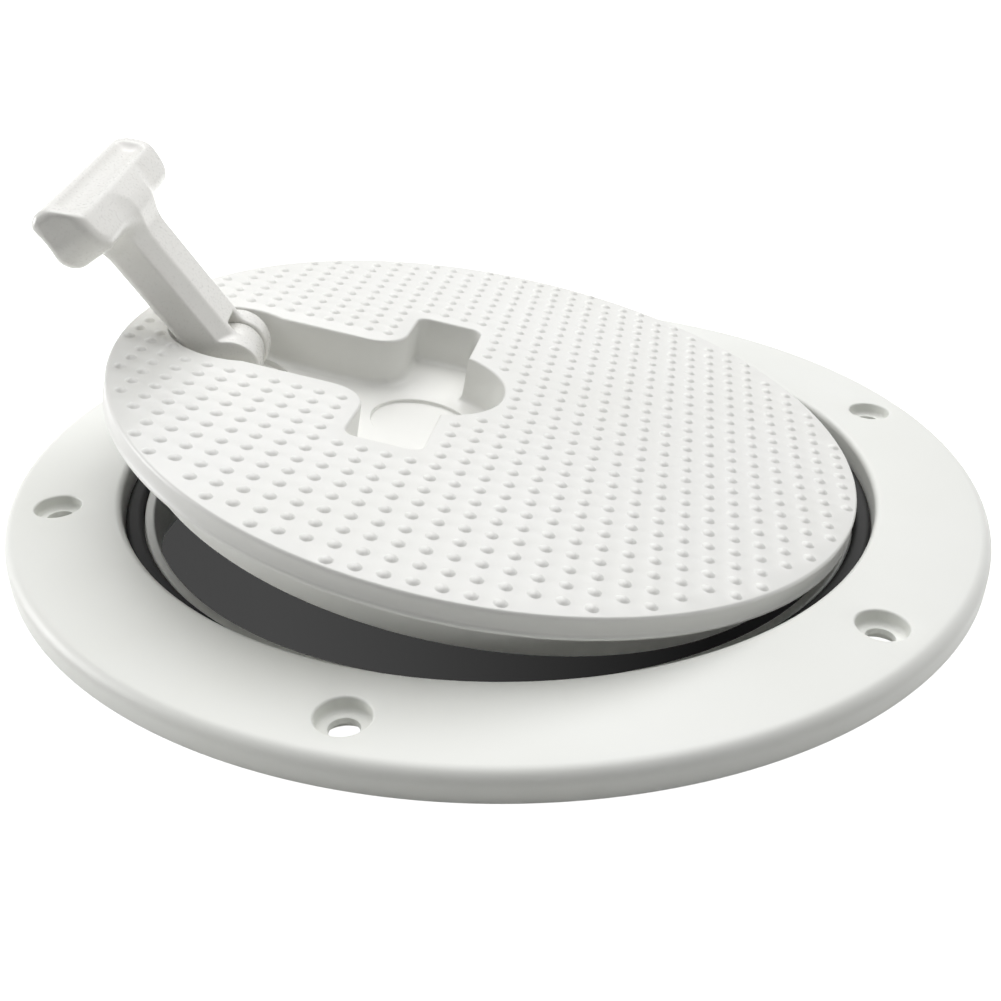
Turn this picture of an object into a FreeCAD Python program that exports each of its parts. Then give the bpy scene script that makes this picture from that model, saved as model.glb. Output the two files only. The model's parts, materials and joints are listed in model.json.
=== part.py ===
import FreeCAD, Part
import os
import re
import Sketcher
from FreeCAD import Placement, Rotation, Vector

# Round deck access hatch: a flanged frame let into the deck and a lift-out lid with a folding T handle.
# The origin is the middle of the frame, on the deck. The handle's side of the frame is at -X.
# Lengths are millimetres and angles degrees.

SIZES = {
    # Frame, seen in section: a flange on the deck, a channel for the seal, and a collar through the deck
    "lip_radius": 80.6,
    "flange_width": 22.4,
    "flange_height": 5.5,
    "flange_corner": 2.5,
    "flange_rim_wall": 3.0,
    "flange_roof_height": 2.0,
    "flange_pad_width": 3.4,
    "lip_corner": 2.0,
    "channel_depth": 6.8,
    "channel_width": 3.9,
    "coaming_wall": 2.0,
    "coaming_drop": 4.0,
    "coaming_corner": 0.5,
    "catch_ring_depth": 10.3,
    "collar_step": 2.0,
    "collar_wall": 2.5,
    "collar_depth": 20.0,
    "deck_rib_width": 2.0,
    "deck_rib_bite": 0.3,
    "deck_rib_count": 12,
    "screw_edge_distance": 10.1,
    "screw_count": 6,
    "first_screw_angle": 24.6,
    "screw_hole_radius": 2.5,
    "screw_head_radius": 4.57,
    "screw_head_depth": 2.5,
    "screw_boss_radius": 4.8,
    # Seal in the frame's channel
    "seal_side_gap": 0.2,
    "seal_height": 2.5,
    "seal_corner": 1.1,
    # Lid disc and skirt, measured down from the top of the lid
    "lid_side_gap": 0.8,
    "lid_seat_gap": 0.1,
    "lid_edge_height": 4.4,
    "lid_edge_round": 0.9,
    "lid_plate_thickness": 3.0,
    "skirt_side_gap": 0.5,
    "skirt_taper": 1.1,
    "skirt_depth": 13.2,
    "skirt_wall": 2.4,
    "lid_rib_count": 4,
    "lid_rib_width": 2.0,
    "lid_rib_depth": 8.0,
    "tongue_half_angle": 10.5,
    "tongue_hook": 2.0,
    "tongue_thickness": 2.5,
    "tongue_drop_gap": 1.3,
    # Pocket for the handle, measured from the middle of the lid towards the handle's spindle
    "pocket_depth": 11.0,
    "pocket_floor": 2.4,
    "cam_seat_radius": 13.2,
    "cam_seat_depth": 12.2,
    "pocket_wall": 2.2,
    "pocket_mouth_round": 0.7,
    "pocket_floor_round": 1.8,
    "spindle_offset": 58.0,
    "pocket_end_radius": 14.4,
    "stem_slot_half_width": 13.05,
    "bar_slot_start": 8.5,
    "bar_slot_width": 15.5,
    "bar_slot_half_length": 33.4,
    "bar_slot_corner": 2.5,
    "slot_junction_round": 8.0,
    "scoop_offset": 14.3,
    "scoop_radius": 16.7,
    "label_recess_offset": 14.3,
    "label_recess_radius": 11.5,
    "label_recess_depth": 0.8,
    # Studs against slipping, on a square grid
    "stud_pitch": 4.756,
    "stud_half_width": 1.35,
    "stud_height": 0.8,
    "stud_rim_margin": 0.1,
    "stud_pocket_margin": 0.15,
    # Spindle, its washer, its ring and its boss in the pocket's floor
    "pin_drop": 5.2,
    "pin_radius": 1.6,
    "pin_hole_gap": 0.05,
    "pin_end_recess": 0.3,
    "pin_end_round": 0.4,
    "tab_width": 6.5,
    "tab_half_length": 6.0,
    "shaft_radius": 4.5,
    "shaft_gap": 0.05,
    "thrust_washer_radius": 7.5,
    "thrust_washer_thickness": 1.0,
    "washer_side_gap": 0.15,
    "o_ring_section_radius": 0.6,
    "spindle_boss_radius": 9.5,
    "boss_to_arm_gap": 0.4,
    "drive_width": 6.3,
    "drive_gap": 0.05,
    "drive_short": 0.1,
    # Latch arm and its fixing
    "arm_catch_gap": 0.3,
    "arm_thickness": 3.5,
    "arm_hook": 2.6,
    "arm_edge_round": 0.9,
    "arm_tip_radius": 4.0,
    "arm_hub_radius": 8.0,
    "arm_angle": 85.0,
    "arm_washer_radius": 6.0,
    "arm_washer_thickness": 1.0,
    "arm_washer_gap": 0.2,
    "arm_screw_radius": 2.0,
    "arm_screw_gap": 0.05,
    "arm_screw_head_radius": 4.0,
    "arm_screw_head_height": 2.5,
    "arm_screw_head_round": 0.8,
    "arm_screw_grip": 5.0,
    "screw_drive_radius": 1.3,
    "screw_drive_width": 0.8,
    "screw_drive_depth": 1.2,
    # T handle, lying in its pocket: along +X from the pin
    "handle_top_gap": 0.2,
    "handle_floor_gap": 0.3,
    "stem_half_width": 9.6,
    "stem_thickness": 9.8,
    "ear_crease_offset": 5.2,
    "ear_end_half_width": 8.0,
    "ear_end_margin": 1.0,
    "foot_radius": 6.7,
    "ear_slot_gap": 0.2,
    "ear_slot_reach": 7.2,
    "bar_offset": 41.3,
    "bar_width": 13.4,
    "bar_half_length": 29.0,
    "bar_far_corner": 8.4,
    "bar_near_corner": 4.8,
    "bar_step_start": 4.0,
    "bar_step_end": 1.0,
    "neck_round": 7.0,
    "bar_edge_round": 3.2,
    "grip_groove_half_length": 20.0,
    "grip_groove_height": 4.5,
    "grip_groove_depth": 1.4,
    # Pose in the photo: the lid tipped up about a line beyond its far edge, the handle folded outwards
    "tilt_angle": 10.33,
    "tilt_axis_x": 77.5,
    "tilt_axis_z": 19.8,
    "handle_fold": 132.8,
    "handle_yaw": 12.2,
}

doc = FreeCAD.newDocument("access_hatch")
sheet = doc.addObject("Spreadsheet::Sheet", "sizes")
for row, (alias, size) in enumerate(SIZES.items(), start=1):
    sheet.set(f"A{row}", alias)
    sheet.set(f"B{row}", str(size))
    sheet.setAlias(f"B{row}", alias)
doc.recompute()


def value(text):
    """The number that an expression of the sheet's names gives."""
    return float(sheet.evalExpression(str(text)))


def tied(text):
    """The same expression, written for an object outside the sheet."""
    return re.sub(r"[a-z_]+", lambda word: f"sizes.{word[0]}" if word[0] in SIZES else word[0], str(text))


def bind(thing, **expressions):
    """Tie properties of an object to the sheet. A double underscore stands for a dot."""
    for name, text in expressions.items():
        thing.setExpression(name.replace("__", "."), tied(text))
    return thing


# Levels and radii that several pieces share, as expressions of the sheet's names
FLANGE_RADIUS = "(lip_radius + flange_width)"
COLLAR_RADIUS = "(lip_radius + collar_step)"
CHANNEL_FLOOR = "(flange_height - channel_depth)"
COAMING_TOP = "(flange_height - coaming_drop)"
SCREW_CIRCLE = f"({FLANGE_RADIUS} - screw_edge_distance)"
CHANNEL_INNER = "(lip_radius - channel_width)"
BORE = f"({CHANNEL_INNER} - coaming_wall)"
LID_RADIUS = "(lip_radius - lid_side_gap)"
LID_TOP = f"({COAMING_TOP} + lid_seat_gap + lid_edge_height)"
SKIRT_TOP = f"({BORE} - skirt_side_gap)"
SKIRT_END = f"({SKIRT_TOP} - skirt_taper)"
CATCH_DROP = f"({LID_TOP} + catch_ring_depth)"
ARM_TOP = f"({CATCH_DROP} + arm_catch_gap)"
BOSS_DROP = f"({ARM_TOP} - boss_to_arm_gap)"
TONGUE_TOP = f"({CATCH_DROP} + tongue_drop_gap)"
SHAFT_HOLE = "(shaft_radius + shaft_gap)"
WASHER_SEAT = "(cam_seat_depth + thrust_washer_thickness)"
# The arm's tip reaches past the bore when the handle is stowed: two sides and an angle give its length
ARM_REACH = f"({BORE} + arm_hook - arm_tip_radius)"
ARM_ASIDE = "(spindle_offset * sin(arm_angle))"
ARM_LENGTH = f"(sqrt({ARM_REACH} ^ 2 - {ARM_ASIDE} ^ 2) - spindle_offset * cos(arm_angle))"


def plane(body, role):
    for feature in body.Origin.OriginFeatures:
        if feature.Role == role:
            return feature
    raise ValueError(role)


def pin_point(sketch, geometry, point, x, y):
    """Hold a point of the sketch at an x and y that are expressions."""
    for text, kind, axis in ((x, "DistanceX", -2), (y, "DistanceY", -1)):
        if text == "0":
            sketch.addConstraint(Sketcher.Constraint("PointOnObject", geometry, point, axis))
        else:
            index = sketch.addConstraint(Sketcher.Constraint(kind, -1, 1, geometry, point, value(text)))
            sketch.setExpression(f"Constraints[{index}]", tied(text))


def draw_outline(sketch, corners):
    """Closed run of straight lines through corners given as pairs of expressions."""
    points = [Vector(value(x), value(y), 0) for x, y in corners]
    count = len(points)
    for index in range(count):
        sketch.addGeometry(Part.LineSegment(points[index], points[(index + 1) % count]))
    for index in range(count):
        sketch.addConstraint(Sketcher.Constraint("Coincident", index, 2, (index + 1) % count, 1))
    for index, (x, y) in enumerate(corners):
        pin_point(sketch, index, 1, x, y)
    return sketch


def draw_circle(sketch, x, y, radius):
    index = sketch.addGeometry(Part.Circle(Vector(value(x), value(y), 0), Vector(0, 0, 1), value(radius)))
    pin_point(sketch, index, 3, x, y)
    size = sketch.addConstraint(Sketcher.Constraint("Radius", index, value(radius)))
    sketch.setExpression(f"Constraints[{size}]", tied(radius))
    return sketch


def body_sketch(body, name, role, drop="0", turn="0"):
    """Sketch on one of the body's own planes, moved along the plane's normal and turned in it."""
    sketch = body.newObject("Sketcher::SketchObject", name)
    sketch.AttachmentSupport = [(plane(body, role), "")]
    sketch.MapMode = "FlatFace"
    sketch.AttachmentOffset = Placement(Vector(0, 0, 0), Rotation(Vector(0, 0, 1), 1))
    bind(sketch, AttachmentOffset__Base__z=drop, AttachmentOffset__Rotation__Angle=turn)
    return sketch


def new_body(name):
    body = doc.addObject("PartDesign::Body", name)
    body.Label = name
    return body


def revolved_body(name, corners, angle="360"):
    """Section in the XZ plane, turned about Z, evenly to both sides."""
    body = new_body(name)
    sketch = draw_outline(body_sketch(body, f"{name}_section", "XZ_Plane"), corners)
    turned = body.newObject("PartDesign::Revolution", f"{name}_turned")
    turned.Profile = sketch
    turned.ReferenceAxis = (sketch, ["V_Axis"])
    turned.Midplane = True
    bind(turned, Angle=angle)
    return body


def ring_edges(shape, rings):
    """Names of the round edges that lie at given radii and heights."""
    names = []
    for index, edge in enumerate(shape.Edges, start=1):
        if not isinstance(edge.Curve, Part.Circle):
            continue
        for radius, height in rings:
            near = abs(edge.Curve.Radius - value(radius)) < 0.01
            if near and abs(edge.Curve.Center.z - value(height)) < 0.01:
                names.append(f"Edge{index}")
    return names


def round_rings(body, name, radius, rings):
    """Fillet on the round edges of the body's last feature."""
    doc.recompute()
    base = body.Tip
    fillet = body.newObject("PartDesign::Fillet", name)
    fillet.Base = (base, ring_edges(base.Shape, rings))
    bind(fillet, Radius=radius)


def cylinder(name, radius, height, x="0", y="0", z="0", along_y=False):
    """Upright cylinder from z upwards, or one along Y that starts at y."""
    solid = doc.addObject("Part::Cylinder", name)
    if along_y:
        solid.Placement = Placement(Vector(0, 0, 0), Rotation(Vector(1, 0, 0), -90))
    bind(solid, Radius=radius, Height=height)
    return bind(solid, Placement__Base__x=x, Placement__Base__y=y, Placement__Base__z=z)


def box(name, length, width, height, x, y, z):
    solid = doc.addObject("Part::Box", name)
    bind(solid, Length=length, Width=width, Height=height)
    return bind(solid, Placement__Base__x=x, Placement__Base__y=y, Placement__Base__z=z)


def turned_box(name, length, width, height, depth, angle):
    """Box about the Z axis, turned about it, that rises from a depth below the origin."""
    solid = doc.addObject("Part::Box", name)
    bind(solid, Length=length, Width=width, Height=height)
    turn = Rotation(Vector(0, 0, 1), angle)
    corner = Vector(-value(length) / 2, -value(width) / 2, -value(depth))
    solid.Placement = Placement(turn.multVec(corner), turn)
    return solid


def fuse(name, solids):
    joined = doc.addObject("Part::MultiFuse", name)
    joined.Shapes = solids
    joined.Refine = True
    return joined


def cut(name, base, tool):
    trimmed = doc.addObject("Part::Cut", name)
    trimmed.Base = base
    trimmed.Tool = tool
    trimmed.Refine = True
    return trimmed


def round_edges(name, base, radius, wanted):
    """Fillet on those edges of a solid that the test accepts."""
    doc.recompute()
    size = value(radius)
    chosen = [(index, size, size) for index, edge in enumerate(base.Shape.Edges, start=1) if wanted(edge)]
    fillet = doc.addObject("Part::Fillet", name)
    fillet.Base = base
    fillet.Edges = chosen
    return fillet


def level(shape, height):
    """True for an edge or face that lies wholly at one height."""
    limits = shape.BoundBox
    return abs(limits.ZMin - height) < 0.01 and abs(limits.ZMax - height) < 0.01


def upright(edge):
    return edge.BoundBox.XLength < 0.01 and edge.BoundBox.YLength < 0.01


def make_frame():
    """Flange with a hollow underside, seal channel, coaming, catch ring and collar, turned in one."""
    rim = f"({FLANGE_RADIUS} - flange_rim_wall)"
    pad = f"({COLLAR_RADIUS} + flange_pad_width)"
    inside = f"({COLLAR_RADIUS} - collar_wall)"
    section = [
        (FLANGE_RADIUS, "0"),
        (FLANGE_RADIUS, "flange_height"),
        ("lip_radius", "flange_height"),
        ("lip_radius", CHANNEL_FLOOR),
        (CHANNEL_INNER, CHANNEL_FLOOR),
        (CHANNEL_INNER, COAMING_TOP),
        (BORE, COAMING_TOP),
        (BORE, "-catch_ring_depth"),
        (inside, "-catch_ring_depth"),
        (inside, "-collar_depth"),
        (COLLAR_RADIUS, "-collar_depth"),
        (COLLAR_RADIUS, "0"),
        (pad, "0"),
        (pad, "flange_roof_height"),
        (rim, "flange_roof_height"),
        (rim, "0"),
    ]
    body = revolved_body("frame", section)
    round_rings(body, "outer_corner", "flange_corner", [(FLANGE_RADIUS, "flange_height")])
    round_rings(body, "lip_corner_round", "lip_corner", [("lip_radius", "flange_height")])
    round_rings(body, "coaming_round", "coaming_corner",
                [(BORE, COAMING_TOP), (CHANNEL_INNER, COAMING_TOP)])

    bosses = body_sketch(body, "screw_boss_place", "XY_Plane", "0", "first_screw_angle")
    draw_circle(bosses, SCREW_CIRCLE, "0", "screw_boss_radius")
    boss = body.newObject("PartDesign::Pad", "screw_boss")
    boss.Profile = bosses
    bind(boss, Length="flange_roof_height + deck_rib_bite")
    heads = body_sketch(body, "screw_head_place", "XY_Plane", "flange_height", "first_screw_angle")
    draw_circle(heads, SCREW_CIRCLE, "0", "screw_head_radius")
    head = body.newObject("PartDesign::Pocket", "screw_head_recess")
    head.Profile = heads
    bind(head, Length="screw_head_depth")
    shanks = body_sketch(body, "screw_place", "XY_Plane", "flange_height", "first_screw_angle")
    draw_circle(shanks, SCREW_CIRCLE, "0", "screw_hole_radius")
    shank = body.newObject("PartDesign::Pocket", "screw_hole")
    shank.Profile = shanks
    bind(shank, Length="flange_height")
    screws = body.newObject("PartDesign::PolarPattern", "screw_holes")
    screws.Originals = [boss, head, shank]
    screws.Axis = (heads, ["N_Axis"])
    screws.Angle = 360
    bind(screws, Occurrences="screw_count")
    body.Tip = screws

    rib_turn = "first_screw_angle + 180 / deck_rib_count"
    rib_place = draw_outline(body_sketch(body, "deck_rib_place", "XY_Plane", "0", rib_turn), [
        (f"{pad} - deck_rib_bite", "-deck_rib_width / 2"),
        (f"{rim} + deck_rib_bite", "-deck_rib_width / 2"),
        (f"{rim} + deck_rib_bite", "deck_rib_width / 2"),
        (f"{pad} - deck_rib_bite", "deck_rib_width / 2"),
    ])
    rib = body.newObject("PartDesign::Pad", "deck_rib")
    rib.Profile = rib_place
    bind(rib, Length=f"flange_roof_height + deck_rib_bite")
    ribs = body.newObject("PartDesign::PolarPattern", "deck_ribs")
    ribs.Originals = [rib]
    ribs.Axis = (rib_place, ["N_Axis"])
    ribs.Angle = 360
    bind(ribs, Occurrences="deck_rib_count")
    body.Tip = ribs
    return body


def make_seal():
    """Rubber ring that fills the frame's channel below the lid, with a rounded top."""
    inner = f"({CHANNEL_INNER} + seal_side_gap)"
    outer = "(lip_radius - seal_side_gap)"
    top = f"({CHANNEL_FLOOR} + seal_height)"
    body = revolved_body("lid_seal", [
        (inner, CHANNEL_FLOOR),
        (outer, CHANNEL_FLOOR),
        (outer, top),
        (inner, top),
    ])
    round_rings(body, "seal_round", "seal_corner", [(inner, top), (outer, top)])
    return body


def make_pocket_form(prefix, grow, depth):
    """Joined slots of the handle pocket, from the lid's top down, grown sideways by a wall."""
    scoop = cylinder(f"{prefix}_finger_scoop", f"scoop_radius + {grow}", depth,
                     "-scoop_offset", "0", f"-({depth})")
    scoop.Angle = 180
    scoop.Placement = Placement(Vector(0, 0, 0), Rotation(Vector(0, 0, 1), -90))
    solids = [
        box(f"{prefix}_stem_slot", "spindle_offset - bar_slot_start",
            f"2 * (stem_slot_half_width + {grow})", depth,
            "-spindle_offset", f"-(stem_slot_half_width + {grow})", f"-({depth})"),
        cylinder(f"{prefix}_round_end", f"pocket_end_radius + {grow}", depth,
                 "-spindle_offset", "0", f"-({depth})"),
        box(f"{prefix}_bar_slot", f"bar_slot_width + 2 * {grow}",
            f"2 * (bar_slot_half_length + {grow})", depth,
            f"-(bar_slot_start + bar_slot_width + {grow})",
            f"-(bar_slot_half_length + {grow})", f"-({depth})"),
        scoop,
    ]
    joined = fuse(f"{prefix}_form", solids)
    slot_end = value(f"bar_slot_half_length + {grow}")
    slot_back = -value(f"bar_slot_start + bar_slot_width + {grow}")

    def junction(edge):
        beside_slot = abs(abs(edge.CenterOfMass.y) - value(f"stem_slot_half_width + {grow}")) < 0.01
        return upright(edge) and beside_slot and abs(edge.CenterOfMass.x - slot_back) < 0.01

    def slot_corner(edge):
        return upright(edge) and abs(abs(edge.CenterOfMass.y) - slot_end) < 0.01

    eased = round_edges(f"{prefix}_junctions", joined, f"slot_junction_round - {grow}", junction)
    return round_edges(f"{prefix}_corners", eased, f"bar_slot_corner + {grow}", slot_corner)


def make_tongue():
    """Hook at the heel of the lid, which slips under the frame's catch ring."""
    leg_in = f"({SKIRT_END} - skirt_wall)"
    tip = f"({BORE} + tongue_hook)"
    foot = f"({TONGUE_TOP} + tongue_thickness)"
    root = "(skirt_depth - skirt_wall)"
    return revolved_body("heel_tongue", [
        (leg_in, f"-{root}"),
        (SKIRT_END, f"-{root}"),
        (SKIRT_END, f"-{TONGUE_TOP}"),
        (tip, f"-{TONGUE_TOP}"),
        (tip, f"-{foot}"),
        (leg_in, f"-{foot}"),
    ], "2 * tongue_half_angle")


def make_lid_ribs():
    """Cross ribs below the lid's plate, from skirt to skirt."""
    count = round(value("lid_rib_count"))
    return [turned_box(f"lid_rib_{index}", f"2 * ({SKIRT_END} - skirt_wall / 2)", "lid_rib_width",
                       "lid_rib_depth - lid_plate_thickness / 2", "lid_rib_depth", 180 * index / count)
            for index in range(count)]


def pocket_face(grow):
    """Plan of the pocket on the lid's top, grown by a margin, to keep the studs out of it."""
    start = value("bar_slot_start") - grow
    wide = value("bar_slot_width") + 2 * grow
    half = value("bar_slot_half_length") + grow
    stem = value("stem_slot_half_width") + grow
    offset = value("spindle_offset")
    slot = Part.makePlane(wide, 2 * half, Vector(-start - wide, -half, 0))
    stem_slot = Part.makePlane(offset - start, 2 * stem, Vector(-offset, -stem, 0))
    discs = []
    for x, radius in ((offset, "pocket_end_radius"), (value("scoop_offset"), "scoop_radius")):
        discs.append(Part.Face(Part.Wire(Part.makeCircle(value(radius) + grow, Vector(-x, 0, 0)))))
    return slot.fuse([stem_slot] + discs)


def stud_spots():
    """Middles of the studs: a square grid over the lid's top, clear of the pocket."""
    pitch = value("stud_pitch")
    field = value(f"{LID_RADIUS} - lid_edge_round - stud_half_width - stud_rim_margin")
    reach = int(field / pitch)
    keep_out = pocket_face(value("stud_half_width + stud_pocket_margin"))
    spots = []
    for column in range(-reach, reach + 1):
        for line in range(-reach, reach + 1):
            spot = Vector(column * pitch, line * pitch, 0)
            if spot.Length > field:
                continue
            if keep_out.distToShape(Part.Vertex(spot))[0] > 0.001:
                spots.append(spot)
    return spots


def add_studs(solid, spots):
    """Low four-sided studs raised out of the solid's flat top: each takes a square out of that face."""
    flat = [face for face in solid.Faces if level(face, 0)]
    top = max(flat, key=lambda face: face.Area)
    half = value("stud_half_width")
    rise = Vector(0, 0, value("stud_height"))
    sides = []
    squares = []
    for spot in spots:
        tip = Part.Vertex(spot + rise)
        around = [Vector(half, 0, 0), Vector(0, half, 0), Vector(-half, 0, 0), Vector(0, -half, 0)]
        corners = [Part.Vertex(spot + step) for step in around]
        base = [Part.Edge(corners[index], corners[(index + 1) % 4]) for index in range(4)]
        ridges = [Part.Edge(corner, tip) for corner in corners]
        squares.append(Part.Wire(base).reversed())
        for index in range(4):
            sides.append(Part.Face(Part.Wire([base[index], ridges[(index + 1) % 4], ridges[index]])))
    others = [face for face in solid.Faces if not face.isSame(top)]
    top.cutHoles(squares)
    return Part.Solid(Part.Shell(others + [top] + sides))


def make_lid():
    """Disc with a skirt, a pocket for the handle, ribs, heel tongue and studs, as one moulding."""
    disc = revolved_body("lid_disc", [
        ("0", "0"),
        (LID_RADIUS, "0"),
        (LID_RADIUS, "-lid_edge_height"),
        (SKIRT_TOP, "-lid_edge_height"),
        (SKIRT_END, "-skirt_depth"),
        (f"{SKIRT_END} - skirt_wall", "-skirt_depth"),
        (f"{SKIRT_TOP} - skirt_wall", "-lid_plate_thickness"),
        ("0", "-lid_plate_thickness"),
    ])
    round_rings(disc, "lid_edge", "lid_edge_round", [(LID_RADIUS, "0")])
    shell = make_pocket_form("pocket_shell", "pocket_wall", "pocket_depth + pocket_floor")
    cam_shell = cylinder("cam_shell", "cam_seat_radius + pocket_wall", "cam_seat_depth + pocket_floor",
                         "-spindle_offset", "0", "-(cam_seat_depth + pocket_floor)")
    boss = cylinder("spindle_boss", "spindle_boss_radius", f"{BOSS_DROP} - pocket_depth",
                    "-spindle_offset", "0", f"-{BOSS_DROP}")
    core = cylinder("lid_core", f"{SKIRT_END} - skirt_wall / 2", "2 * skirt_depth", z="-2 * skirt_depth")
    walls = doc.addObject("Part::MultiCommon", "pocket_walls")
    walls.Shapes = [fuse("pocket_shells", [shell, cam_shell]), core]
    solid = fuse("lid_solid", [disc, walls, boss, make_tongue()] + make_lid_ribs())

    cavity = make_pocket_form("pocket", "0", "pocket_depth")
    floor = -value("pocket_depth")
    cavity = round_edges("pocket_floor_edges", cavity, "pocket_floor_round", lambda edge: level(edge, floor))
    recess = cylinder("label_recess", "label_recess_radius", "pocket_depth",
                      "-label_recess_offset", "0", "-(pocket_depth + label_recess_depth)")
    cam_seat = cylinder("cam_seat", "cam_seat_radius", "pocket_depth",
                        "-spindle_offset", "0", "-cam_seat_depth")
    washer_seat = cylinder("washer_seat", "thrust_washer_radius + washer_side_gap", "pocket_depth",
                           "-spindle_offset", "0", f"-{WASHER_SEAT}")
    ring_seat = cylinder("o_ring_seat", f"{SHAFT_HOLE} + 2 * o_ring_section_radius", "pocket_depth",
                         "-spindle_offset", "0", f"-({WASHER_SEAT} + 2 * o_ring_section_radius)")
    shaft_hole = cylinder("shaft_hole", SHAFT_HOLE, f"{ARM_TOP}", "-spindle_offset", "0", f"-{ARM_TOP}")
    tools = fuse("pocket_tools", [cavity, recess, cam_seat, washer_seat, ring_seat, shaft_hole])
    hollow = cut("lid_hollow", solid, tools)

    rim = value(f"{LID_RADIUS} - 2 * lid_edge_round")
    mouth = round_edges("pocket_mouth", hollow, "pocket_mouth_round",
                        lambda edge: level(edge, 0) and edge.BoundBox.XMax < rim)
    doc.recompute()
    lid = doc.addObject("Part::Feature", "lid")
    lid.Label = "lid"
    lid.Shape = add_studs(mouth.Shape, stud_spots())
    return lid


def make_spindle():
    """Turning spindle: tab for the pin above the floor, round shaft through it, square end below."""
    tab = box("spindle_tab", "2 * tab_half_length", "tab_width", "cam_seat_depth - pin_drop",
              "-tab_half_length", "-tab_width / 2", "-cam_seat_depth")
    crown = cylinder("spindle_crown", "tab_half_length", "tab_width", "0", "-tab_width / 2",
                     "-pin_drop", along_y=True)
    shaft = cylinder("spindle_shaft", "shaft_radius", f"{ARM_TOP} - cam_seat_depth", "0", "0", f"-{ARM_TOP}")
    drive = box("spindle_drive", "drive_width", "drive_width", "arm_thickness - drive_short",
                "-drive_width / 2", "-drive_width / 2", f"-({ARM_TOP} + arm_thickness - drive_short)")
    solid = fuse("spindle_solid", [tab, crown, shaft, drive])
    pin_hole = cylinder("spindle_pin_hole", "pin_radius + pin_hole_gap", "tab_width", "0",
                        "-tab_width / 2", "-pin_drop", along_y=True)
    bore = cylinder("spindle_screw_bore", "arm_screw_radius + arm_screw_gap",
                    "arm_thickness + arm_screw_grip", "0", "0", f"-({ARM_TOP} + arm_thickness)")
    return cut("latch_spindle", solid, fuse("spindle_holes", [pin_hole, bore]))


def make_pin():
    """Pin through both ears and the tab, a little short of the ears' outer faces, with rounded ends."""
    half = "(ear_end_half_width - pin_end_recess)"
    rod = cylinder("pin_rod", "pin_radius", f"2 * {half}", "0", f"-{half}", "-pin_drop", along_y=True)
    return round_edges("handle_pin", rod, "pin_end_round", lambda edge: edge.BoundBox.YLength < 0.01)


def make_washer(name, hole, outside, thickness, under):
    """Flat washer whose lower face lies at a depth below the lid's top."""
    disc = cylinder(f"{name}_disc", outside, thickness, "0", "0", f"-({under})")
    hole = cylinder(f"{name}_hole", hole, thickness, "0", "0", f"-({under})")
    return cut(name, disc, hole)


def make_o_ring():
    ring = doc.addObject("Part::Torus", "spindle_o_ring")
    return bind(ring, Radius1=f"{SHAFT_HOLE} + o_ring_section_radius", Radius2="o_ring_section_radius")


def make_arm():
    """Latch arm: a hub with a square hole and a straight arm with a round tip, along -X."""
    bottom = f"-({ARM_TOP} + arm_thickness)"
    hub = cylinder("arm_hub", "arm_hub_radius", "arm_thickness", "0", "0", bottom)
    tip = cylinder("arm_tip", "arm_tip_radius", "arm_thickness", f"-{ARM_LENGTH}", "0", bottom)
    blade = box("arm_blade", ARM_LENGTH, "2 * arm_tip_radius", "arm_thickness",
                f"-{ARM_LENGTH}", "-arm_tip_radius", bottom)
    side = "drive_width + 2 * drive_gap"
    hole = turned_box("arm_drive_hole", side, side, "arm_thickness", f"{ARM_TOP} + arm_thickness",
                      -value("arm_angle"))
    solid = cut("arm_solid", fuse("arm_outline", [hub, tip, blade]), hole)
    lower = value(bottom)
    return round_edges("latch_arm", solid, "arm_edge_round",
                       lambda edge: level(edge, lower) and edge.CenterOfMass.Length > value("arm_hub_radius"))


def make_screw():
    """Pan head screw up into the spindle's square end, with a cross recess."""
    seat = f"({ARM_TOP} + arm_thickness + arm_washer_thickness)"
    shank = cylinder("screw_shank", "arm_screw_radius", "arm_washer_thickness + arm_thickness + arm_screw_grip",
                     "0", "0", f"-{seat}")
    head = cylinder("screw_head", "arm_screw_head_radius", "arm_screw_head_height", "0", "0",
                    f"-({seat} + arm_screw_head_height)")
    base = round_edges("screw_rounded", fuse("screw_solid", [shank, head]), "arm_screw_head_round",
                       lambda edge: level(edge, -value(f"{seat} + arm_screw_head_height")))
    long = "2 * screw_drive_radius"
    narrow = "screw_drive_width"
    bars = []
    for index, (length, width) in enumerate([(long, narrow), (narrow, long)]):
        bars.append(box(f"screw_cross_{index}", length, width, "screw_drive_depth", f"-({length}) / 2",
                        f"-({width}) / 2", f"-({seat} + arm_screw_head_height)"))
    return cut("arm_screw", base, fuse("screw_cross", bars))


def slab(name, corners, height, flat):
    """Straight-sided outline pulled out into a slab: flat in XY, or upright in XZ about the middle."""
    sketch = doc.addObject("Sketcher::SketchObject", f"{name}_outline")
    if not flat:
        sketch.Placement = Placement(Vector(0, 0, 0), Rotation(Vector(1, 0, 0), 90))
    draw_outline(sketch, corners)
    pulled = doc.addObject("Part::Extrusion", name)
    pulled.Base = sketch
    pulled.DirMode = "Custom"
    pulled.Dir = Vector(0, 0, 1) if flat else Vector(0, 1, 0)
    pulled.Solid = True
    pulled.Symmetric = not flat
    return bind(pulled, LengthFwd=height)


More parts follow.
